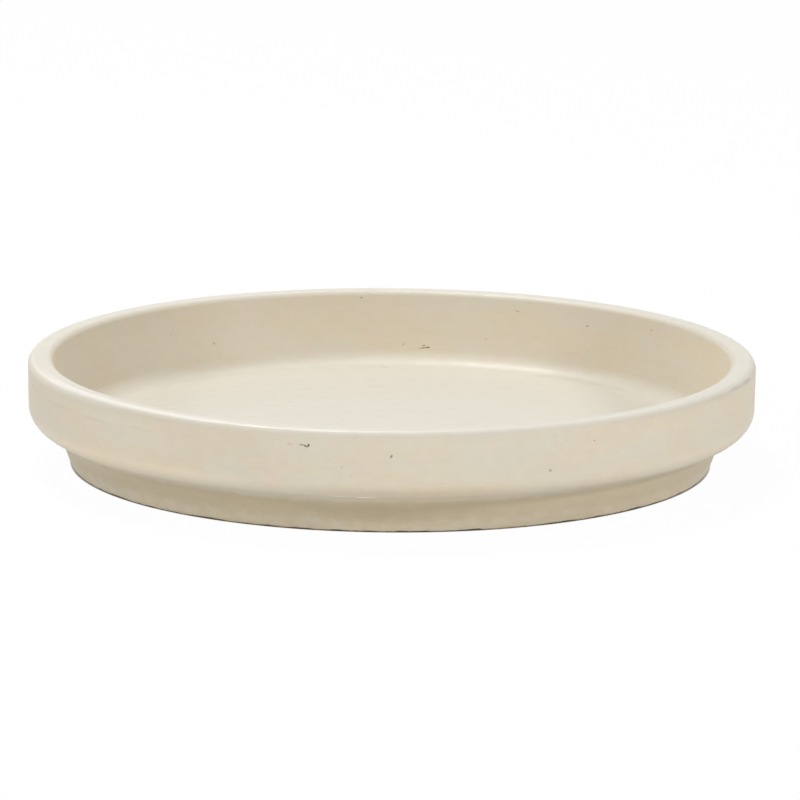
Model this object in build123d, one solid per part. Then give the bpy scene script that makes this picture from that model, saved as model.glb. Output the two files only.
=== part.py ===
from build123d import *
from math import cos, radians, sin, tan
import os

os.makedirs("parts", exist_ok=True)

# A round plant saucer of fired clay. It is one turned piece, so it is one section swept round +Z.
# Millimetres, +Z up, origin in the middle of the base on the surface that the saucer stands on.

# The whole saucer
rim_diameter = 254.0
saucer_height = 37.5

# Rim: the top of the wall and its two rounded edges
rim_thickness = 8.2
rim_outer_edge_radius = 2.8
rim_inner_edge_radius = 2.5

# Band: the upright outside face, which draws in a little towards its lower edge
band_taper = 0.25

# Lip: the rounded lower edge of the band and the strip of its underside, which slopes down to the neck
lip_height = 14.8
lip_radius = 7.4
lip_slope_angle = 12.0
lip_strip_width = 0.5

# Foot: the narrower base below the lip, which leans in towards the table under a hollow neck
foot_lean_angle = 20.5
foot_edge_radius = 1.2
neck_radius = 7.5

# Wall: its inside face leans in towards the floor
inner_wall_angle = 21.2

# Base: a flat floor that the pot stands on, over a shallow recess that leaves a foot ring
base_thickness = 9.1
cove_radius = 7.8
recess_depth = 3.0
recess_slope_angle = 30.0
recess_edge_radius = 1.0
recess_corner_radius = 3.0
foot_ring_width = 13.0

right_angle = 90.0


def lean(rise, angle):
    """Return how far a face that leans by angle from upright moves sideways over a rise."""
    return rise * tan(radians(angle))


def reach(radius, turn):
    """Return how far a rounding reaches along each side of a corner that turns by an angle."""
    return radius * tan(radians(turn / 2))


rim_radius = rim_diameter / 2
lip_edge_radius = rim_radius - band_taper
lip_turn = right_angle - lip_slope_angle
neck_turn = lip_turn - foot_lean_angle
underside_length = reach(lip_radius, lip_turn) + lip_strip_width + reach(neck_radius, neck_turn)
neck_place = lip_edge_radius - underside_length * cos(radians(lip_slope_angle))
neck_height = lip_height - underside_length * sin(radians(lip_slope_angle))
foot_radius = neck_place - lean(neck_height, foot_lean_angle)
ring_inside_radius = foot_radius - foot_ring_width
recess_place = ring_inside_radius - lean(recess_depth, recess_slope_angle)
floor_height = recess_depth + base_thickness
rim_inside_radius = rim_radius - rim_thickness
cove_place = rim_inside_radius - lean(saucer_height - floor_height, inner_wall_angle)

# Corners of half the section, each as (distance from the axis, height)
underside_middle = (0, recess_depth)
recess_corner = (recess_place, recess_depth)
ring_inside_edge = (ring_inside_radius, 0)
foot_edge = (foot_radius, 0)
neck = (neck_place, neck_height)
lip_corner = (lip_edge_radius, lip_height)
rim_outer_edge = (rim_radius, saucer_height)
rim_inner_edge = (rim_inside_radius, saucer_height)
cove_corner = (cove_place, floor_height)
floor_middle = (0, floor_height)

outside = [underside_middle, recess_corner, ring_inside_edge, foot_edge, neck, lip_corner, rim_outer_edge]
inside = [rim_outer_edge, rim_inner_edge, cove_corner, floor_middle, underside_middle]

roundings = {
    recess_corner: recess_corner_radius,
    ring_inside_edge: recess_edge_radius,
    foot_edge: foot_edge_radius,
    neck: neck_radius,
    lip_corner: lip_radius,
    rim_outer_edge: rim_outer_edge_radius,
    rim_inner_edge: rim_inner_edge_radius,
    cove_corner: cove_radius,
}

with BuildPart() as saucer:
    with BuildSketch(Plane.XZ) as section:
        with BuildLine():
            Polyline(*outside)
            Polyline(*inside)
        make_face()
        for corner, rounding in roundings.items():
            fillet(section.vertices().sort_by_distance(corner)[0], radius=rounding)
    revolve(axis=Axis.Z)

saucer.part.label = "saucer"
export_step(saucer.part, "parts/saucer.step")
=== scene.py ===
import logging
import math
from collections.abc import Callable
from dataclasses import dataclass
from enum import Enum

import bmesh
import bpy
from mathutils import Matrix, Vector
from mathutils.kdtree import KDTree


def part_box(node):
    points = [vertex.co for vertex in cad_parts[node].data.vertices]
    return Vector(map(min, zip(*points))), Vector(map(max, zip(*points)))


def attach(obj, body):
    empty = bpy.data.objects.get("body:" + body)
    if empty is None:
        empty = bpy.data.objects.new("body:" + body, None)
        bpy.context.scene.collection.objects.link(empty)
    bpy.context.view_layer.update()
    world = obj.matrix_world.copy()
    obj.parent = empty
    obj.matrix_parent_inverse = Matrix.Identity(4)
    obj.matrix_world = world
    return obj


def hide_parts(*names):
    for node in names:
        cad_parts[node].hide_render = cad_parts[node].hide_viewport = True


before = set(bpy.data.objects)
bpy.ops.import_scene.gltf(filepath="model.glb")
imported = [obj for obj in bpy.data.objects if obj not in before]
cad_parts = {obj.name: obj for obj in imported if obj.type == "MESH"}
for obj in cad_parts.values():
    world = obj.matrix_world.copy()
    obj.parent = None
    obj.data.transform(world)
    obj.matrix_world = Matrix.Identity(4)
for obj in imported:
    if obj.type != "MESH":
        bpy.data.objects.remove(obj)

LOG = logging.getLogger("plant_saucer")
MM = 0.001
ORIGIN = (0.0, 0.0, 0.0)
UP = Vector((0.0, 0.0, 1.0))

Colour = tuple[float, float, float]
Pair = tuple[float, float]
Socket = bpy.types.NodeSocket


def deselect_all() -> None:
    """Leave object mode with nothing selected, so that the next operator acts on its own piece alone."""
    if bpy.context.object is not None and bpy.context.object.mode != "OBJECT":
        bpy.ops.object.mode_set(mode="OBJECT")
    bpy.ops.object.select_all(action="DESELECT")


def reach(radius: float, turn: float) -> float:
    """Return how far a rounding reaches along each side of a corner.

    Args:
        radius: Radius of the rounding.
        turn: Angle in radians by which the outline turns at the corner.

    Returns:
        The distance from the corner to where the rounding starts, in the radius's own unit.
    """
    return radius * math.tan(turn / 2)


def clamp(value: float) -> float:
    """Return a value held between 0 and 1."""
    return min(max(value, 0.0), 1.0)


@dataclass(frozen=True)
class Corner:
    """One corner of half the section of a turned piece, in millimetres."""

    radius: float
    height: float
    rounding: float = 0.0
    steps: int = 1

    def matches(self, point: Vector, slack: float) -> bool:
        """Return whether a mesh point lies on this corner's ring."""
        near_radius = abs(math.hypot(point.x, point.y) - self.radius * MM) < slack
        return near_radius and abs(point.z - self.height * MM) < slack


class TurnedMesh:
    """A ring of edges that is drawn out step by step along a section, as clay is turned on a wheel."""

    WELD_SHARE = 0.1
    QUAD = 4

    def __init__(self, name: str, sides: int, slack: float = 0.02 * MM) -> None:
        """Keep the name of the piece and the number of sides of each ring.

        Args:
            name: Name of the new object.
            sides: How many edges one ring has.
            slack: How near a point lies to a ring that it belongs to.
        """
        self.name = name
        self.sides = sides
        self.slack = slack
        self.piece: bpy.types.Object | None = None

    def draw_out(self, corners: list[Corner]) -> None:
        """Extrude the first corner's circle through all the other corners.

        Args:
            corners: The section from the middle of the underside to the middle of the floor.
        """
        deselect_all()
        first = corners[0]
        place = (0.0, 0.0, first.height * MM)
        bpy.ops.mesh.primitive_circle_add(vertices=self.sides, radius=first.radius * MM, location=place)
        self.piece = bpy.context.object
        self.piece.name = self.piece.data.name = self.name
        bpy.ops.object.transform_apply(location=True, rotation=True, scale=True)
        bpy.ops.object.mode_set(mode="EDIT")
        bpy.ops.mesh.select_mode(type="EDGE")
        bpy.ops.mesh.select_all(action="SELECT")
        for here, there in zip(corners, corners[1:]):
            rise = (there.height - here.height) * MM
            growth = there.radius / here.radius
            bpy.ops.mesh.extrude_region_move(TRANSFORM_OT_translate={"value": (0.0, 0.0, rise)})
            bpy.ops.transform.resize(value=(growth, growth, 1.0), center_override=ORIGIN)

    def select_edges(self, wanted: Callable[[bmesh.types.BMEdge], bool]) -> None:
        """Select the edges for which a test holds, and nothing else.

        Args:
            wanted: A function that takes an edge and says whether it is selected.
        """
        mesh = bmesh.from_edit_mesh(self.piece.data)
        bpy.ops.mesh.select_all(action="DESELECT")
        for edge in mesh.edges:
            if wanted(edge):
                edge.select = True
        bmesh.update_edit_mesh(self.piece.data)

    def round_off(self, corners: list[Corner]) -> None:
        """Bevel each corner's ring to its rounding.

        Args:
            corners: The same section that the rings were drawn out along.
        """
        for before, corner, after in zip(corners, corners[1:], corners[2:]):
            if not corner.rounding:
                continue
            arriving = math.atan2(corner.height - before.height, corner.radius - before.radius)
            leaving = math.atan2(after.height - corner.height, after.radius - corner.radius)
            turn = abs((leaving - arriving + math.pi) % (2 * math.pi) - math.pi)
            self.select_edges(lambda edge: all(corner.matches(v.co, self.slack) for v in edge.verts))
            bpy.ops.mesh.bevel(
                offset_type="OFFSET",
                offset=reach(corner.rounding, turn) * MM,
                segments=corner.steps,
                profile=0.5,
                clamp_overlap=False,
            )

    def cut_rings(self, spacing: float) -> None:
        """Divide each long span of the section with evenly spaced rings.

        Args:
            spacing: The widest that a span may stay, in millimetres.
        """
        mesh = bmesh.from_edit_mesh(self.piece.data)
        spans = []
        for edge in mesh.edges:
            low, high = (v.co for v in edge.verts)
            on_meridian = all(abs(p.y) < self.slack and p.x > 0 for p in (low, high))
            if on_meridian and edge.calc_length() > spacing * MM:
                ends = [Corner(p.x / MM, p.z / MM) for p in (low, high)]
                spans.append((ends, math.ceil(edge.calc_length() / (spacing * MM)) - 1))
        for (one, other), cuts in spans:

            def crosses(edge: bmesh.types.BMEdge) -> bool:
                """Return whether an edge runs from one end of the span to the other."""
                a, b = (v.co for v in edge.verts)
                return (one.matches(a, self.slack) and other.matches(b, self.slack)) or (
                    one.matches(b, self.slack) and other.matches(a, self.slack)
                )

            self.select_edges(crosses)
            bpy.ops.mesh.subdivide(number_cuts=cuts)

    def close_middles(self) -> None:
        """Fill the two open rings on the axis, each with a middle point, and turn all faces outwards."""
        self.select_edges(lambda edge: edge.is_boundary)
        bpy.ops.mesh.fill_holes(sides=0)
        bpy.ops.mesh.select_mode(type="FACE")
        mesh = bmesh.from_edit_mesh(self.piece.data)
        for face in mesh.faces:
            face.select = len(face.verts) > self.QUAD
        bmesh.update_edit_mesh(self.piece.data)
        bpy.ops.mesh.poke()
        bpy.ops.mesh.select_all(action="SELECT")
        bpy.ops.mesh.remove_doubles(threshold=self.slack * self.WELD_SHARE)
        bpy.ops.mesh.normals_make_consistent(inside=False)
        bpy.ops.object.mode_set(mode="OBJECT")


@dataclass(frozen=True)
class Waviness:
    """Soft dents and swellings that a hand and the kiln leave, in millimetres."""

    name: str
    spacing: float
    depth: float

    def press(self, piece: bpy.types.Object) -> None:
        """Move the clay in and out by up to half the depth.

        Args:
            piece: The saucer.
        """
        deselect_all()
        piece.select_set(True)
        bpy.context.view_layer.objects.active = piece
        clouds = bpy.data.textures.new(self.name, "CLOUDS")
        clouds.noise_scale = self.spacing * MM
        displace = piece.modifiers.new(self.name, "DISPLACE")
        displace.texture = clouds
        displace.texture_coords = "LOCAL"
        displace.mid_level = 0.5
        displace.strength = self.depth * MM
        bpy.ops.object.modifier_apply(modifier=self.name)
        bpy.data.textures.remove(clouds)


class Side(Enum):
    """The side of the saucer that a mark lies on."""

    OUTSIDE = "outside"
    INSIDE = "inside"
    TOP = "top"


@dataclass(frozen=True)
class Mark:
    """A small stretched oval in the clay, in millimetres, as firing, handling and stacking leave."""

    side: Side
    around: float
    place: float
    length: float
    width: float
    slant: float = 0.0
    depth: float = 0.0
    # Darkness of the mark: soil in a pit or speck, painted shade in a crease's groove.
    soil_and_shade: float = 0.0
    # Gloss of the mark, which also whitens the clay as a painted glint.
    gloss_and_glint: float = 0.0
    cuts: int = 4

    def middle(self, piece: bpy.types.Object) -> tuple[Vector, Vector]:
        """Return the mark's middle on the piece and the direction that the surface faces there.

        Args:
            piece: The saucer. On its upright sides place is a height, on its top a distance from the axis.
        """
        turn = math.radians(self.around)
        outward = Vector((math.cos(turn), math.sin(turn), 0.0))
        if self.side is Side.TOP:
            start, aim = outward * self.place * MM + UP, -UP
        elif self.side is Side.OUTSIDE:
            start, aim = outward + UP * self.place * MM, -outward
        else:
            start, aim = UP * self.place * MM, outward
        hit, spot, facing, _ = piece.ray_cast(start, aim)
        if not hit:
            raise ValueError(f"no clay under the mark at {self.around} degrees, {self.place} mm")
        return spot, facing

    def axes(self, facing: Vector) -> tuple[Vector, Vector]:
        """Return the directions of the mark's length and width on a surface that faces a given way."""
        turn = math.radians(self.around)
        along = Vector((-math.sin(turn), math.cos(turn), 0.0))
        if self.side is Side.INSIDE:
            along.negate()
        across = facing.cross(along).normalized()
        slant = math.radians(self.slant)
        slanted_along = along * math.cos(slant) + across * math.sin(slant)
        slanted_across = across * math.cos(slant) - along * math.sin(slant)
        return slanted_along, slanted_across


@dataclass(frozen=True)
class Spot:
    """A mark with its place on the mesh worked out."""

    mark: Mark
    middle: Vector
    facing: Vector
    along: Vector
    across: Vector

    @classmethod
    def find(cls, piece: bpy.types.Object, mark: Mark) -> "Spot":
        """Return the spot on the piece where a mark lies."""
        middle, facing = mark.middle(piece)
        return cls(mark, middle, facing, *mark.axes(facing))

    def reach(self, margin: float) -> float:
        """Return how far the spot and a margin in millimetres reach from its middle, in metres."""
        return (max(self.mark.length, self.mark.width) / 2 + margin) * MM

    def fullness(self, point: Vector, margin: float = 0.0) -> float:
        """Return 1 in the spot's middle, falling smoothly to 0 at its edge.

        Args:
            point: A point of the mesh.
            margin: How much wider than the mark the spot is taken, in millimetres.
        """
        offset = point - self.middle
        if abs(offset.dot(self.facing)) > self.reach(margin):
            return 0.0
        long_share = offset.dot(self.along) / ((self.mark.length / 2 + margin) * MM)
        wide_share = offset.dot(self.across) / ((self.mark.width / 2 + margin) * MM)
        inside = clamp(1.0 - long_share**2 - wide_share**2)
        return inside * (2.0 - inside)


class Marking:
    """Works the marks into a finished mesh: fine faces, then the pressed and raised clay, its soil and
    painted shade, and the painted glint of its glossy spots.
    """

    MARGINS = (3.0, 1.5, 0.75, 0.4)
    SOIL_AND_SHADE = "soil_and_shade"
    GLOSS_AND_GLINT = "gloss_and_glint"

    def __init__(self, piece: bpy.types.Object, marks: tuple[Mark, ...]) -> None:
        """Find the place of each mark on the piece.

        Args:
            piece: The saucer.
            marks: The marks that it gets.
        """
        self.piece = piece
        self.spots = [Spot.find(piece, mark) for mark in marks]

    def refine(self) -> None:
        """Divide the faces at the marks, in steps, so that the faces grow finer towards each mark."""
        deselect_all()
        bpy.context.view_layer.objects.active = self.piece
        bpy.ops.object.mode_set(mode="EDIT")
        bpy.ops.mesh.select_mode(type="FACE")
        for step, margin in enumerate(self.MARGINS):
            mesh = bmesh.from_edit_mesh(self.piece.data)
            bpy.ops.mesh.select_all(action="DESELECT")
            mesh.faces.ensure_lookup_table()
            middles = KDTree(len(mesh.faces))
            for face in mesh.faces:
                middles.insert(face.calc_center_median(), face.index)
            middles.balance()
            for spot in self.spots:
                if step >= spot.mark.cuts:
                    continue
                for point, index, _ in middles.find_range(spot.middle, spot.reach(margin)):
                    if spot.fullness(point, margin) > 0.0:
                        mesh.faces[index].select = True
            bmesh.update_edit_mesh(self.piece.data)
            bpy.ops.mesh.subdivide(number_cuts=1, smoothness=1.0)
        bpy.ops.object.mode_set(mode="OBJECT")

    def spread(self, amount: Callable[[Mark], float]) -> dict[int, float]:
        """Return the largest amount that the marks give each vertex.

        Args:
            amount: A function that reads the amount from a mark. Amounts of 0 or less are left out.

        Returns:
            The amount of each vertex that has one, by the vertex's number.
        """
        points = KDTree(len(self.piece.data.vertices))
        for vertex in self.piece.data.vertices:
            points.insert(vertex.co, vertex.index)
        points.balance()
        given: dict[int, float] = {}
        for spot in self.spots:
            most = amount(spot.mark)
            if most <= 0.0:
                continue
            for point, index, _ in points.find_range(spot.middle, spot.reach(0.0)):
                here = most * spot.fullness(point)
                if here > given.get(index, 0.0):
                    given[index] = here
        return given

    def push(self, name: str, given: dict[int, float], inward: bool) -> None:
        """Press the clay in, or let it stand proud, by the given depths.

        Args:
            name: Name of the vertex group.
            given: The depth in millimetres of each vertex that moves.
            inward: Whether the clay is pressed in.
        """
        if not given:
            return
        deepest = max(given.values())
        group = self.piece.vertex_groups.new(name=name)
        for index, depth in given.items():
            group.add([index], depth / deepest, "REPLACE")
        displace = self.piece.modifiers.new(name, "DISPLACE")
        displace.vertex_group = name
        displace.mid_level = 0.0
        displace.strength = -deepest * MM if inward else deepest * MM
        bpy.ops.object.modifier_apply(modifier=name)
        self.piece.vertex_groups.remove(self.piece.vertex_groups[name])

    def colour(self, name: str, given: dict[int, float]) -> None:
        """Keep an amount for each vertex as an attribute that the clay's material reads."""
        values = self.piece.data.attributes.new(name, "FLOAT", "POINT").data
        for index, amount in given.items():
            values[index].value = amount

    def build(self) -> None:
        """Work all the marks in."""
        self.refine()
        soil_and_shade = self.spread(lambda mark: mark.soil_and_shade)
        gloss_and_glint = self.spread(lambda mark: mark.gloss_and_glint)
        pressed = self.spread(lambda mark: mark.depth)
        raised = self.spread(lambda mark: -mark.depth)
        self.colour(self.SOIL_AND_SHADE, soil_and_shade)
        self.colour(self.GLOSS_AND_GLINT, gloss_and_glint)
        self.push("pressed", pressed, True)
        self.push("raised", raised, False)


FRONT_MARKS = (
    Mark(Side.OUTSIDE, -103.5, 32.1, 1.7, 0.6, 8.0, 0.10, 0.65),
    Mark(Side.OUTSIDE, -102.85, 31.75, 1.9, 0.7, -25.0, 0.15, 0.85),
    Mark(Side.OUTSIDE, -102.4, 32.0, 1.4, 0.8, 60.0, 0.15, 0.95),
    Mark(Side.OUTSIDE, -105.3, 32.25, 2.4, 0.8, -8.0, 0.04, 0.16),
    Mark(Side.OUTSIDE, -90.0, 29.15, 1.5, 0.8, 60.0, 0.15, 0.65),
    Mark(Side.OUTSIDE, -97.4, 25.1, 1.0, 0.5, 70.0, 0.06, 0.30),
    Mark(Side.OUTSIDE, -96.0, 22.5, 0.9, 0.5, 0.0, 0.05, 0.22),
    Mark(Side.OUTSIDE, -58.0, 30.8, 0.7, 0.6, 0.0, 0.10, 0.55),
    Mark(Side.OUTSIDE, -65.5, 22.3, 1.4, 1.2, 0.0, 0.10, 0.42),
    # Raised glossy bead and spots on the band and lip; their gloss also whitens the clay there as a painted
    # glint.
    Mark(Side.OUTSIDE, -81.7, 18.9, 1.2, 0.6, 0.0, -0.05, 0.0, 0.3),
    Mark(Side.OUTSIDE, -94.0, 14.5, 8.2, 0.95, 0.0, -0.30, 0.0, 1.0, 3),
    Mark(Side.OUTSIDE, -97.6, 14.5, 7.0, 0.9, 0.0, -0.16, 0.0, 0.6, 3),
    Mark(Side.OUTSIDE, -99.3, 14.6, 1.2, 1.2, 0.0, -0.20, 0.0, 0.8),
    Mark(Side.OUTSIDE, -84.8, 30.5, 1.0, 0.6, 20.0, -0.05, 0.0, 0.25),
    # Shoulder creases: shallow grooves whose darkening is painted shade.
    Mark(Side.OUTSIDE, -15.5, 36.0, 13.0, 1.5, -1.5, 0.13, 0.12, 0.0, 3),
    Mark(Side.OUTSIDE, -21.6, 36.2, 15.0, 1.3, -0.5, 0.10, 0.09, 0.0, 3),
    Mark(Side.OUTSIDE, -29.0, 36.2, 15.0, 1.0, 0.0, 0.06, 0.05, 0.0, 2),
    # The parting line: a shallow groove whose darkening is painted shade.
    Mark(Side.OUTSIDE, -165.0, 31.4, 24.0, 1.0, 3.0, 0.06, 0.06, 0.0, 2),
    Mark(Side.OUTSIDE, -153.0, 30.8, 24.0, 1.0, 1.0, 0.06, 0.06, 0.0, 2),
    Mark(Side.OUTSIDE, -142.5, 30.7, 22.0, 0.9, 0.0, 0.05, 0.05, 0.0, 2),
    Mark(Side.OUTSIDE, -132.0, 30.95, 20.0, 0.9, -1.5, 0.04, 0.04, 0.0, 2),
)
INNER_MARKS = (
    Mark(Side.TOP, -152.4, 122.3, 0.7, 0.6, 0.0, 0.08, 0.45),
    Mark(Side.TOP, -126.2, 121.1, 0.7, 0.6, 0.0, 0.08, 0.45),
    Mark(Side.INSIDE, 125.2, 22.5, 1.0, 0.8, 0.0, 0.10, 0.45),
    Mark(Side.INSIDE, 95.6, 35.2, 1.2, 0.8, 0.0, 0.08, 0.45),
    Mark(Side.INSIDE, 87.9, 18.9, 1.3, 0.7, 25.0, 0.06, 0.30),
    Mark(Side.INSIDE, 84.0, 17.8, 4.4, 0.55, 10.0, 0.12, 0.60),
    Mark(Side.INSIDE, 83.2, 18.0, 1.8, 0.7, 5.0, 0.15, 0.75),
    Mark(Side.INSIDE, 84.0, 18.6, 1.7, 0.55, 22.0, 0.10, 0.55),
    Mark(Side.INSIDE, 72.2, 21.9, 1.2, 0.6, 15.0, 0.05, 0.25),
    Mark(Side.INSIDE, 66.8, 32.4, 2.0, 0.7, 0.0, 0.05, 0.30),
    Mark(Side.INSIDE, 52.1, 30.1, 1.4, 0.7, 12.0, 0.10, 0.50),
    Mark(Side.INSIDE, 134.5, 27.8, 0.9, 0.6, 0.0, 0.05, 0.25),
    Mark(Side.INSIDE, 36.8, 33.0, 1.6, 0.9, 30.0, 0.05, 0.22),
    Mark(Side.INSIDE, 50.6, 22.0, 0.8, 0.8, 0.0, 0.05, 0.20),
    Mark(Side.TOP, 91.5, 101.9, 2.0, 1.4, 0.0, 0.05, 0.30),
    Mark(Side.TOP, 75.5, 88.4, 1.4, 1.6, 0.0, 0.05, 0.20),
    Mark(Side.TOP, 132.9, 53.6, 1.2, 1.8, 0.0, 0.05, 0.18),
)
REAR_MARKS = (
    Mark(Side.OUTSIDE, 152.0, 27.4, 1.4, 0.7, 35.0, 0.08, 0.40),
    Mark(Side.OUTSIDE, 118.5, 33.2, 2.1, 0.6, -12.0, 0.08, 0.45),
    Mark(Side.OUTSIDE, 71.0, 21.6, 1.0, 0.8, 0.0, 0.06, 0.30),
    Mark(Side.OUTSIDE, 38.5, 29.8, 0.9, 0.7, 60.0, 0.10, 0.55),
    Mark(Side.INSIDE, -61.0, 26.5, 1.5, 0.7, 20.0, 0.08, 0.40),
    Mark(Side.INSIDE, -118.0, 31.2, 1.1, 0.7, 0.0, 0.06, 0.35),
)


@dataclass
class Saucer:
    """The round clay saucer: its sizes in millimetres and its mesh."""

    EXPOSURE = "exposure"
    WELL = "well"
    LIP = "lip"

    rim_diameter: float
    height: float
    sides: int = 480
    ring_spacing: float = 3.2
    rim_thickness: float = 8.2
    rim_outer_rounding: float = 2.8
    rim_inner_rounding: float = 2.5
    band_taper: float = 0.25
    lip_height: float = 14.8
    lip_rounding: float = 7.4
    lip_slope: float = math.radians(12.0)
    lip_strip_width: float = 0.5
    neck_rounding: float = 7.5
    foot_lean: float = math.radians(20.5)
    foot_edge_rounding: float = 1.2
    inner_wall_lean: float = math.radians(21.2)
    foot_ring_width: float = 13.0
    recess_depth: float = 3.0
    recess_slope: float = math.radians(30.0)
    recess_edge_rounding: float = 1.0
    recess_corner_rounding: float = 3.0
    base_thickness: float = 9.1
    cove_rounding: float = 7.8
    middle_radius: float = 6.0
    foot_shift: float = -0.35
    rim_tilt: float = 0.18
    rim_tilt_side: float = math.radians(104.0)
    rim_warp: float = 0.18
    rim_warp_side: float = math.radians(-4.0)
    # Where the painted shade in the neck's hollow under the lip starts, fades and tilts off.
    neck_shade_drop: float = 1.8
    neck_shade_fade: float = 3.0
    neck_shade_foot: float = 3.5
    neck_shade_tilt: float = 2.0
    # How fast the painted light pales the clay as it turns to face up.
    top_light_falloff: float = 1.2
    # Height above which the lip's turned-under face gets painted light.
    lip_light_height: float = 13.0
    underside_start: float = 3.0
    underside_end: float = 2.0
    smooth_angle: float = math.radians(40.0)
    waviness: tuple[Waviness, ...] = (Waviness("slump", 45.0, 0.16), Waviness("finger_dents", 13.0, 0.05))

    def section(self) -> list[Corner]:
        """Return the corners of half the section, from the underside's middle round to the floor's."""
        rim = self.rim_diameter / 2
        lip_edge = rim - self.band_taper
        lip_turn = math.pi / 2 - self.lip_slope
        roundings = reach(self.lip_rounding, lip_turn) + reach(self.neck_rounding, lip_turn - self.foot_lean)
        underside = roundings + self.lip_strip_width
        neck = lip_edge - underside * math.cos(self.lip_slope)
        neck_height = self.lip_height - underside * math.sin(self.lip_slope)
        foot = neck - neck_height * math.tan(self.foot_lean)
        ring_inside = foot - self.foot_ring_width
        recess = ring_inside - self.recess_depth * math.tan(self.recess_slope)
        floor = self.recess_depth + self.base_thickness
        rim_inside = rim - self.rim_thickness
        cove = rim_inside - (self.height - floor) * math.tan(self.inner_wall_lean)
        return [
            Corner(self.middle_radius, self.recess_depth),
            Corner(recess, self.recess_depth, self.recess_corner_rounding, steps=4),
            Corner(ring_inside, 0.0, self.recess_edge_rounding, steps=4),
            Corner(foot, 0.0, self.foot_edge_rounding, steps=5),
            Corner(neck, neck_height, self.neck_rounding, steps=10),
            Corner(lip_edge, self.lip_height, self.lip_rounding, steps=12),
            Corner(rim, self.height, self.rim_outer_rounding, steps=8),
            Corner(rim_inside, self.height, self.rim_inner_rounding, steps=7),
            Corner(cove, floor, self.cove_rounding, steps=12),
            Corner(self.middle_radius, floor),
        ]

    def build(self) -> bpy.types.Object:
        """Turn the saucer from its section and return its object."""
        turned = TurnedMesh("clay_saucer", self.sides)
        corners = self.section()
        turned.draw_out(corners)
        turned.round_off(corners)
        turned.cut_rings(self.ring_spacing)
        turned.close_middles()
        self.settle(turned.piece)
        for waviness in self.waviness:
            waviness.press(turned.piece)
        Marking(turned.piece, FRONT_MARKS + INNER_MARKS + REAR_MARKS).build()
        self.expose(turned.piece)
        bpy.ops.object.shade_smooth_by_angle(angle=self.smooth_angle)
        return turned.piece

    def settle(self, piece: bpy.types.Object) -> None:
        """Give the piece the small unevenness of clay that has dried and been fired.

        Args:
            piece: The turned saucer.
        """
        for vertex in piece.data.vertices:
            point = vertex.co
            around = math.atan2(point.y, point.x)
            height = point.z / MM
            risen = clamp((height - self.lip_height) / (self.height - self.lip_height))
            below_lip = clamp((self.lip_height - height) / self.neck_rounding)
            tilt = self.rim_tilt * math.cos(around - self.rim_tilt_side)
            oval = self.rim_warp * math.cos(2.0 * (around - self.rim_warp_side))
            point.z += risen * (tilt + oval) * MM
            point.x += below_lip * self.foot_shift * MM

    def expose(self, piece: bpy.types.Object) -> None:
        """Keep for each point how exposed it is, how far it faces into the well, and the lip's underside,
        which the clay's material turns into painted light and shade.

        The exposure is 1 on what faces up, half on the upright band and least in the hollow of the neck: the
        material paints the high end paler as painted light and the low end darker and yellower as painted
        shade.

        Args:
            piece: The saucer with its marks.
        """
        names = (self.EXPOSURE, self.WELL, self.LIP)
        for name in names:
            piece.data.attributes.new(name, "FLOAT", "POINT")
        exposure, well, lip = (piece.data.attributes[name].data for name in names)
        for vertex, normal in zip(piece.data.vertices, piece.data.vertex_normals):
            height = vertex.co.z / MM
            facing_up = normal.vector.z
            outward = normal.vector.dot(Vector((vertex.co.x, vertex.co.y, 0.0)).normalized())
            above_foot = clamp((height - self.neck_shade_foot) / self.neck_shade_fade)
            below_lip = clamp((self.lip_height - self.neck_shade_drop - height) / self.neck_shade_fade)
            hollow = below_lip * (0.5 + 0.5 * above_foot) * clamp(1.0 - facing_up * self.neck_shade_tilt)
            exposed = 0.5 + 0.5 * max(facing_up, 0.0) ** self.top_light_falloff
            exposure[vertex.index].value = clamp(exposed - 0.5 * hollow)
            well[vertex.index].value = clamp(-outward)
            turned_under = clamp(-facing_up * self.underside_start)
            still_upright = clamp((1.0 + facing_up) * self.underside_end)
            lip[vertex.index].value = turned_under * still_upright * clamp(height - self.lip_light_height)


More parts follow.
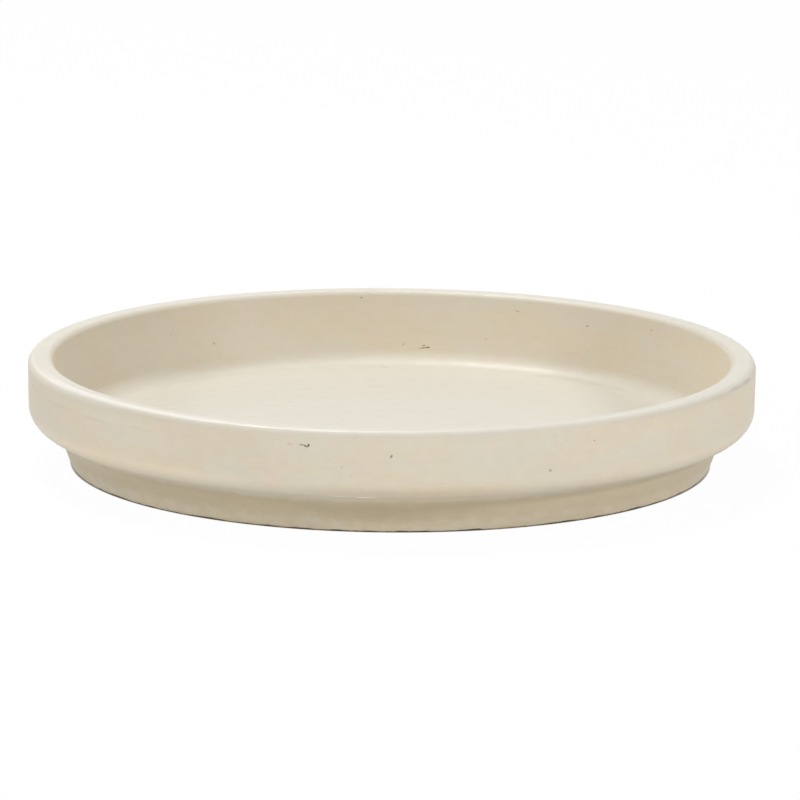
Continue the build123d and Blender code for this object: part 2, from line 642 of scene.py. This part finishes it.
class NodeBench:
    """A short way to lay out the nodes of one material."""

    NOISE_RANGE: Pair = (0.3, 0.7)
    RING_DETAIL = 2.0
    SPECK_EDGE = 0.25

    def __init__(self, name: str) -> None:
        """Start a new material that has its shader and its output.

        Args:
            name: Name of the material.
        """
        self.material = bpy.data.materials.new(name)
        self.material.use_nodes = True
        self.nodes = self.material.node_tree.nodes
        self.links = self.material.node_tree.links
        self.shader = self.nodes["Principled BSDF"]
        self.place = self.nodes.new("ShaderNodeTexCoord").outputs["Object"]
        apart = self.nodes.new("ShaderNodeSeparateXYZ")
        self.links.new(self.stretched(1.0, 1.0), apart.inputs["Vector"])
        self.east, self.north, self.height = (apart.outputs[axis] for axis in ("X", "Y", "Z"))
        squares = [self.product(side, side) for side in (self.east, self.north)]
        self.radius = self.math("SQRT", self.math("ADD", *squares))

    def feed(self, value: object, socket: Socket) -> None:
        """Link a socket to an input, or set the input to a plain value."""
        if isinstance(value, Socket):
            self.links.new(value, socket)
        else:
            socket.default_value = value

    def math(self, operation: str, one: object, other: object = 0.0) -> Socket:
        """Return the result of a sum on two sockets or numbers."""
        node = self.nodes.new("ShaderNodeMath")
        node.operation = operation
        self.feed(one, node.inputs[0])
        self.feed(other, node.inputs[1])
        return node.outputs[0]

    def product(self, *factors: object) -> Socket:
        """Return the product of two or more sockets or numbers."""
        result = factors[0]
        for factor in factors[1:]:
            result = self.math("MULTIPLY", result, factor)
        return result

    def span(self, value: object, low: float, high: float, start: float = 0.0, end: float = 1.0) -> Socket:
        """Return a value that runs smoothly from start to end while the given one runs from low to high."""
        node = self.nodes.new("ShaderNodeMapRange")
        node.interpolation_type = "SMOOTHSTEP"
        self.feed(value, node.inputs["Value"])
        for name, number in (("From Min", low), ("From Max", high), ("To Min", start), ("To Max", end)):
            node.inputs[name].default_value = number
        return node.outputs["Result"]

    def swing(self, noise: Socket, amount: float, middle: float = 0.0) -> Socket:
        """Return a value that swings with soft noise by an amount to either side of a middle."""
        return self.span(noise, *self.NOISE_RANGE, middle - amount, middle + amount)

    def stretched(self, across: float, up: float) -> Socket:
        """Return the place on the piece, counted in grains of a given size.

        Args:
            across: Size of a grain from side to side, in millimetres.
            up: Size of a grain upwards, in millimetres.
        """
        node = self.nodes.new("ShaderNodeMapping")
        node.vector_type = "POINT"
        node.inputs["Scale"].default_value = (1 / (across * MM), 1 / (across * MM), 1 / (up * MM))
        self.links.new(self.place, node.inputs["Vector"])
        return node.outputs["Vector"]

    def clouds(self, across: float, up: float, detail: float = 3.0) -> Socket:
        """Return soft noise about 0.5 with grains of a given size in millimetres."""
        node = self.nodes.new("ShaderNodeTexNoise")
        node.inputs["Scale"].default_value = 1.0
        node.inputs["Detail"].default_value = detail
        self.links.new(self.stretched(across, up), node.inputs["Vector"])
        return node.outputs["Fac"]

    def rings(self, spacing: float) -> Socket:
        """Return noise that is the same all round the axis, as a turning tool leaves it."""
        joined = self.nodes.new("ShaderNodeCombineXYZ")
        self.links.new(self.radius, joined.inputs["X"])
        self.links.new(self.height, joined.inputs["Y"])
        node = self.nodes.new("ShaderNodeTexNoise")
        node.inputs["Scale"].default_value = 1 / spacing
        node.inputs["Detail"].default_value = self.RING_DETAIL
        self.links.new(joined.outputs["Vector"], node.inputs["Vector"])
        return node.outputs["Fac"]

    def specks(self, spacing: float, size: float, share: float) -> Socket:
        """Return 1 inside scattered round specks and 0 elsewhere.

        Args:
            spacing: Distance between the places that a speck can have, in millimetres.
            size: Radius of the largest specks, in millimetres.
            share: How many of those places have one.
        """
        cells = self.nodes.new("ShaderNodeTexVoronoi")
        cells.inputs["Scale"].default_value = 1.0
        self.links.new(self.stretched(spacing, spacing), cells.inputs["Vector"])
        apart = self.nodes.new("ShaderNodeSeparateColor")
        self.links.new(cells.outputs["Color"], apart.inputs["Color"])
        grown = self.math("SUBTRACT", apart.outputs["Red"], 1.0 - share)
        radius = self.product(self.math("MAXIMUM", grown), size / (spacing * share))
        depth = self.math("SUBTRACT", radius, cells.outputs["Distance"])
        return self.span(depth, 0.0, self.SPECK_EDGE * size / spacing)

    def between(self, share: object, one: object, other: object) -> Socket:
        """Return the number that lies a given share of the way from one number to another."""
        return self.math("ADD", self.product(share, self.math("SUBTRACT", other, one)), one)

    def blend(self, share: object, one: object, other: object) -> Socket:
        """Return the colour that lies a given share of the way from one colour to another."""
        node = self.nodes.new("ShaderNodeMix")
        node.data_type = "RGBA"
        self.feed(share, node.inputs["Factor"])
        for value, name in ((one, "A"), (other, "B")):
            socket = next(s for s in node.inputs if s.name == name and s.type == "RGBA")
            self.feed(value if isinstance(value, Socket) else (*value, 1.0), socket)
        return next(s for s in node.outputs if s.type == "RGBA")

    def kept(self, name: str) -> Socket:
        """Return an amount that the mesh keeps for each of its points."""
        node = self.nodes.new("ShaderNodeAttribute")
        node.attribute_name = name
        return node.outputs["Fac"]

    def relief(self, *layers: tuple[Socket, float]) -> None:
        """Give the shader fine relief.

        Args:
            layers: Pairs of a height from 0 to 1 and how high 1 stands, in millimetres.
        """
        normal = None
        for height, depth in layers:
            bump = self.nodes.new("ShaderNodeBump")
            bump.inputs["Distance"].default_value = depth * MM
            self.links.new(height, bump.inputs["Height"])
            if normal is not None:
                self.links.new(normal, bump.inputs["Normal"])
            normal = bump.outputs["Normal"]
        self.links.new(normal, self.shader.inputs["Normal"])


@dataclass(frozen=True)
class Specks:
    """Round specks scattered in the clay, with the spacing and the largest radius in millimetres."""

    colour: Colour
    spacing: float
    size: float
    share: float
    strength: float


@dataclass(frozen=True)
class ClayFinish:
    """Pale fired clay with a satin surface: soft warm and cool patches, fine grain, specks, and painted
    light and shade.

    Grain sizes, heights and radii are in millimetres. A layer fades between the two values of its edges.
    """

    warm: Colour = (0.714, 0.626, 0.462)
    cool: Colour = (0.702, 0.644, 0.508)
    pink: Colour = (0.732, 0.616, 0.492)
    # Painted shade: darker, yellower clay in the neck's hollow under the lip.
    painted_neck_shade: Colour = (0.612, 0.528, 0.366)
    # Painted light: paler clay on faces that look up.
    painted_top_light: Colour = (0.680, 0.641, 0.539)
    # Dark soil in pits and specks, and painted shade in the grooves of creases and the parting line.
    soil_and_shade: Colour = (0.080, 0.064, 0.040)
    # Painted glint: whiter clay on the glossy bead and spots.
    painted_glint: Colour = (0.93, 0.88, 0.79)
    # Painted highlight: the pale line along the rim's outer edge.
    painted_rim_highlight: Colour = (0.84, 0.80, 0.70)
    # Painted contact shadow: the dark line round the bottom of the foot.
    painted_contact_shadow: Colour = (0.105, 0.095, 0.060)
    # Painted shade on the wall that faces into the well.
    painted_well_shade: Colour = (0.945, 0.922, 0.886)
    # Painted light on the lip's turned-under face.
    painted_lip_light: Colour = (1.07, 1.06, 1.045)
    dark_specks: Specks = Specks((0.36, 0.30, 0.22), 11.0, 0.34, 0.35, 0.55)
    pale_specks: Specks = Specks((0.80, 0.77, 0.70), 7.0, 0.26, 0.25, 0.35)

    patch_size: Pair = (34.0, 14.0)
    patch_edges: Pair = (0.36, 0.64)
    blush_size: Pair = (9.0, 6.0)
    blush_edges: Pair = (0.5, 0.7)
    blush_share: float = 0.6
    mottle_size: Pair = (5.0, 3.0)
    mottle_tone: float = 0.012
    mottle_relief: float = 0.05
    grain_size: Pair = (0.55, 0.55)
    grain_detail: float = 2.0
    grain_tone: float = 0.014
    grain_relief: float = 0.012
    ring_spacing: float = 2.2
    ring_tone: float = 0.006
    ring_relief: float = 0.012

    exposure_swing: float = 0.06
    painted_neck_shade_edges: Pair = (0.45, 0.0)
    painted_top_light_edges: Pair = (0.5, 1.0)
    painted_glint_share: float = 0.85
    # The painted highlight along the rim's outer edge, stronger towards one side.
    painted_rim_highlight_share: float = 0.8
    rim_highlight_wander: float = 0.25
    rim_highlight_inside: Pair = (122.6, 123.4)
    rim_highlight_outside: Pair = (126.3, 124.9)
    rim_highlight_heights: Pair = (35.4, 36.3)
    rim_highlight_towards: Pair = (-0.77, -0.64)
    rim_highlight_side: Pair = (108.0, 124.0)
    rim_highlight_least: float = 0.02
    # The painted contact shadow round the bottom of the foot.
    contact_shadow_height: float = 0.75
    contact_shadow_size: Pair = (11.0, 30.0)
    contact_shadow_detail: float = 4.0
    contact_shadow_unevenness: Pair = (0.38, 0.62)
    contact_shadow_least: float = 0.15
    contact_shadow_edges: Pair = (1.15, 0.65)
    contact_shadow_share: float = 0.9

    specular: float = 0.30
    rough_edges: Pair = (0.7, 1.3)
    rough_low: float = 0.46
    rough_high: float = 0.62
    rubbed_edges: Pair = (0.78, 1.0)
    rubbed_roughness: float = 0.40
    rim_line_roughness: float = 0.34
    bead_roughness: float = 0.18

    def make(self) -> bpy.types.Material:
        """Return the node material of the clay."""
        bench = NodeBench("pale_clay")
        patches = bench.clouds(*self.patch_size)
        blush = bench.clouds(*self.blush_size)
        mottle = bench.clouds(*self.mottle_size)
        grain = bench.clouds(*self.grain_size, self.grain_detail)
        rings = bench.rings(self.ring_spacing)
        exposure = bench.math("ADD", bench.kept(Saucer.EXPOSURE), bench.swing(mottle, self.exposure_swing))
        rim_highlight_line = self.rim_highlight_line(bench, patches)

        colour = bench.blend(bench.span(patches, *self.patch_edges), self.cool, self.warm)
        blushing = bench.product(bench.span(blush, *self.blush_edges), self.blush_share)
        colour = bench.blend(blushing, colour, self.pink)
        # Painted shade in the neck's hollow under the lip.
        colour = bench.blend(bench.span(exposure, *self.painted_neck_shade_edges), colour, self.painted_neck_shade)
        # Painted light on faces that look up.
        colour = bench.blend(bench.span(exposure, *self.painted_top_light_edges), colour, self.painted_top_light)
        tone = bench.swing(grain, self.grain_tone, 1.0)
        tone = bench.math("ADD", tone, bench.swing(rings, self.ring_tone))
        tone = bench.math("ADD", tone, bench.swing(mottle, self.mottle_tone))
        colour = self.toned(bench, colour, tone)
        # Painted shade on the wall facing into the well.
        colour = self.tinted(bench, colour, bench.kept(Saucer.WELL), self.painted_well_shade)
        # Painted light on the lip's turned-under face.
        colour = self.tinted(bench, colour, bench.kept(Saucer.LIP), self.painted_lip_light)
        for specks in (self.dark_specks, self.pale_specks):
            found = bench.specks(specks.spacing, specks.size, specks.share)
            colour = bench.blend(bench.product(found, specks.strength), colour, specks.colour)
        # Painted glint on the glossy bead and spots.
        colour = bench.blend(bench.product(bench.kept(Marking.GLOSS_AND_GLINT), self.painted_glint_share), colour, self.painted_glint)
        # Painted highlight along the rim's outer edge.
        colour = bench.blend(bench.product(rim_highlight_line, self.painted_rim_highlight_share), colour, self.painted_rim_highlight)
        # Painted contact shadow round the bottom of the foot.
        colour = bench.blend(self.painted_foot_contact_shadow(bench), colour, self.painted_contact_shadow)
        # Soil darkens the pits and specks; in the creases and the parting line it is painted shade.
        colour = bench.blend(bench.kept(Marking.SOIL_AND_SHADE), colour, self.soil_and_shade)
        bench.links.new(colour, bench.shader.inputs["Base Color"])

        unevenness = bench.math("ADD", mottle, grain)
        rough = bench.span(unevenness, *self.rough_edges, self.rough_low, self.rough_high)
        rough = bench.between(bench.span(exposure, *self.rubbed_edges), rough, self.rubbed_roughness)
        rough = bench.between(rim_highlight_line, rough, self.rim_line_roughness)
        rough = bench.between(bench.kept(Marking.GLOSS_AND_GLINT), rough, self.bead_roughness)
        bench.links.new(rough, bench.shader.inputs["Roughness"])
        bench.shader.inputs["Specular IOR Level"].default_value = self.specular
        bench.relief((grain, self.grain_relief), (rings, self.ring_relief), (mottle, self.mottle_relief))
        return bench.material

    def painted_foot_contact_shadow(self, bench: NodeBench) -> Socket:
        """Return how much of the painted contact shadow, a dark line round the bottom of the foot, covers a
        point.
        """
        clouds = bench.clouds(*self.contact_shadow_size, self.contact_shadow_detail)
        uneven = bench.span(clouds, *self.contact_shadow_unevenness, self.contact_shadow_least, 1.0)
        top = bench.product(uneven, self.contact_shadow_height)
        return bench.span(bench.math("DIVIDE", bench.height, top), *self.contact_shadow_edges, 0.0, self.contact_shadow_share)

    def rim_highlight_line(self, bench: NodeBench, patches: Socket) -> Socket:
        """Return how much of the painted highlight, a pale, smoother line along the rim's outer edge, covers
        a point.
        """
        wander = bench.math("ADD", bench.radius, bench.swing(patches, self.rim_highlight_wander))
        line = bench.product(bench.span(wander, *self.rim_highlight_inside), bench.span(wander, *self.rim_highlight_outside))
        on_rim = bench.span(bench.height, *self.rim_highlight_heights)
        shares = [bench.product(*pair) for pair in zip((bench.east, bench.north), self.rim_highlight_towards)]
        sideways = bench.math("ADD", *shares)
        strength = bench.span(sideways, *self.rim_highlight_side, self.rim_highlight_least, 1.0)
        return bench.product(line, on_rim, strength)

    @staticmethod
    def tinted(bench: NodeBench, colour: Socket, share: Socket, tint: Colour) -> Socket:
        """Return a colour that takes on a tint by a given share."""
        node = bench.nodes.new("ShaderNodeVectorMath")
        node.operation = "MULTIPLY"
        bench.links.new(colour, node.inputs[0])
        bench.links.new(bench.blend(share, (1.0, 1.0, 1.0), tint), node.inputs[1])
        return node.outputs["Vector"]

    @staticmethod
    def toned(bench: NodeBench, colour: Socket, tone: Socket) -> Socket:
        """Return a colour made lighter or darker by a factor."""
        node = bench.nodes.new("ShaderNodeVectorMath")
        node.operation = "SCALE"
        bench.links.new(colour, node.inputs[0])
        bench.links.new(tone, node.inputs["Scale"])
        return node.outputs["Vector"]


@dataclass(frozen=True)
class SoftLamp:
    """A round soft lamp that hangs round the saucer and points at it."""

    azimuth: float
    elevation: float
    energy: float
    colour: Colour = (1.0, 1.0, 1.0)
    distance: float = 1.6
    size: float = 0.25

    def hang(self) -> bpy.types.Object:
        """Add the lamp. Azimuth 0 is the viewer's side and 90 degrees is the right."""
        around, above = math.radians(self.azimuth), math.radians(self.elevation)
        level = math.cos(above)
        towards = Vector((math.sin(around) * level, -math.cos(around) * level, math.sin(above)))
        deselect_all()
        turn = towards.to_track_quat("Z", "Y").to_euler()
        bpy.ops.object.light_add(type="AREA", location=towards * self.distance, rotation=turn)
        lamp = bpy.context.object
        lamp.name = f"soft_lamp_{self.azimuth:.0f}_{self.elevation:.0f}"
        lamp.data.shape = "DISK"
        lamp.data.size = self.size
        lamp.data.energy = self.energy
        lamp.data.color = self.colour
        lamp.visible_camera = False
        return lamp


@dataclass(frozen=True)
class Studio:
    """The pale floor, the white surroundings and the soft lamps."""

    floor_size: float = 12.0
    floor_colour: Colour = (0.90, 0.90, 0.90)
    floor_glow: float = 0.97
    # The painted contact shadow that darkens the floor's glow next to the saucer.
    contact_shadow_reach: float = 0.7 * MM
    contact_samples: int = 16
    contact_shadow_colour: Colour = (0.55, 0.44, 0.28)
    surround_light: float = 0.10
    lamps: tuple[SoftLamp, ...] = (
        SoftLamp(0.0, 10.0, 2.6, (1.0, 0.97, 0.88)),
        SoftLamp(60.0, 25.5, 9.6, (0.99, 1.0, 1.08)),
        SoftLamp(180.0, 45.0, 2.2),
        SoftLamp(207.0, 20.0, 1.0),
        SoftLamp(210.0, 65.0, 14.6),
        SoftLamp(300.0, 26.0, 4.6, (0.99, 1.0, 1.11)),
        SoftLamp(330.0, 40.0, 4.4, (0.99, 1.0, 1.06)),
    )

    def seen_or_mirrored(self, nodes: bpy.types.Nodes, links: bpy.types.NodeLinks) -> Socket:
        """Add the nodes that say whether a ray comes from the camera, a reflection or a clear piece.

        Args:
            nodes: The tree's nodes.
            links: The tree's links.

        Returns:
            A socket that is 1 for such a ray and 0 for a ray that only lights the scene.
        """
        rays = nodes.new("ShaderNodeLightPath")
        either = rays.outputs["Is Camera Ray"]
        for name in ("Is Glossy Ray", "Is Transmission Ray"):
            larger = nodes.new("ShaderNodeMath")
            larger.operation = "MAXIMUM"
            links.new(either, larger.inputs[0])
            links.new(rays.outputs[name], larger.inputs[1])
            either = larger.outputs[0]
        return either

    def make_floor(self) -> bpy.types.Object:
        """Add the floor that the saucer stands on, with a painted contact shadow in its glow."""
        deselect_all()
        bpy.ops.mesh.primitive_plane_add(size=self.floor_size, location=ORIGIN)
        floor = bpy.context.object
        floor.name = "studio_floor"
        material = bpy.data.materials.new("white_floor")
        material.use_nodes = True
        nodes, links = material.node_tree.nodes, material.node_tree.links
        nodes.clear()
        output = nodes.new("ShaderNodeOutputMaterial")
        matt = nodes.new("ShaderNodeBsdfDiffuse")
        matt.inputs["Color"].default_value = (*self.floor_colour, 1.0)
        # Painted contact shadow: ambient occlusion darkens and browns the floor's glow next to the saucer.
        contact = nodes.new("ShaderNodeAmbientOcclusion")
        contact.samples = self.contact_samples
        contact.inputs["Distance"].default_value = self.contact_shadow_reach
        tint = nodes.new("ShaderNodeMix")
        tint.data_type = "RGBA"
        one, other = (socket for socket in tint.inputs if socket.name in "AB" and socket.type == "RGBA")
        one.default_value = (*self.contact_shadow_colour, 1.0)
        other.default_value = (1.0, 1.0, 1.0, 1.0)
        links.new(contact.outputs["AO"], tint.inputs["Factor"])
        glow = nodes.new("ShaderNodeEmission")
        links.new(next(socket for socket in tint.outputs if socket.type == "RGBA"), glow.inputs["Color"])
        links.new(contact.outputs["AO"], glow.inputs["Strength"])
        share = nodes.new("ShaderNodeMath")
        share.operation = "MULTIPLY"
        links.new(self.seen_or_mirrored(nodes, links), share.inputs[0])
        share.inputs[1].default_value = self.floor_glow
        mix = nodes.new("ShaderNodeMixShader")
        links.new(share.outputs[0], mix.inputs["Fac"])
        links.new(matt.outputs["BSDF"], mix.inputs[1])
        links.new(glow.outputs["Emission"], mix.inputs[2])
        links.new(mix.outputs["Shader"], output.inputs["Surface"])
        floor.data.materials.append(material)
        return floor

    def make_world(self) -> None:
        """Surround the scene with white."""
        world = bpy.data.worlds.new("white_room")
        bpy.context.scene.world = world
        world.use_nodes = True
        nodes, links = world.node_tree.nodes, world.node_tree.links
        background = nodes["Background"]
        background.inputs["Color"].default_value = (1.0, 1.0, 1.0, 1.0)
        strength = nodes.new("ShaderNodeMapRange")
        strength.inputs["To Min"].default_value = self.surround_light
        strength.inputs["To Max"].default_value = 1.0
        links.new(self.seen_or_mirrored(nodes, links), strength.inputs["Value"])
        links.new(strength.outputs["Result"], background.inputs["Strength"])

    def build(self) -> None:
        """Lay the floor, set the surroundings and hang the lamps."""
        self.make_floor()
        self.make_world()
        for lamp in self.lamps:
            lamp.hang()


@dataclass(frozen=True)
class PhotoCamera:
    """The camera that took the picture: where it stands and what it aims at."""

    distance: float = 2.0
    elevation: float = math.radians(11.939)
    aim_height: float = 0.020
    pan: float = math.radians(0.0835)
    tilt: float = math.radians(0.0383)
    roll: float = math.radians(0.452)
    lens: float = 257.14
    sensor: float = 36.0

    def make(self) -> bpy.types.Object:
        """Add the camera and make it the scene's own."""
        back = Vector((0.0, -math.cos(self.elevation), math.sin(self.elevation)))
        place = back * self.distance + UP * self.aim_height
        across = Vector((1.0, 0.0, 0.0))
        upward = across.cross(-back)
        forward = (-back + across * math.tan(self.pan) + upward * math.tan(self.tilt)).normalized()
        right = forward.cross(UP).normalized()
        above = right.cross(forward)
        turn = Matrix.Rotation(self.roll, 3, -forward)
        axes = Matrix((turn @ right, turn @ above, -forward)).transposed()
        deselect_all()
        bpy.ops.object.camera_add(location=place, rotation=axes.to_euler())
        camera = bpy.context.object
        camera.data.lens = self.lens
        camera.data.sensor_width = self.sensor
        bpy.context.scene.camera = camera
        return camera


def main() -> None:
    """Build the saucer to the CAD part's size, its finish, the studio and the camera, and log the saucer's
    faces.
    """
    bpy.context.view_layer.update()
    PhotoCamera().make()
    lowest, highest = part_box("saucer")
    saucer = Saucer(rim_diameter=(highest.x - lowest.x) / MM, height=(highest.z - lowest.z) / MM).build()
    saucer.data.materials.append(ClayFinish().make())
    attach(saucer, "root")
    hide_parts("saucer")
    LOG.info("%s: %d faces", saucer.name, len(saucer.data.polygons))
    Studio().build()
    bpy.context.scene.view_settings.view_transform = "Standard"


if __name__ == "__main__":
    logging.basicConfig(level=logging.INFO, format="%(message)s")
    main()
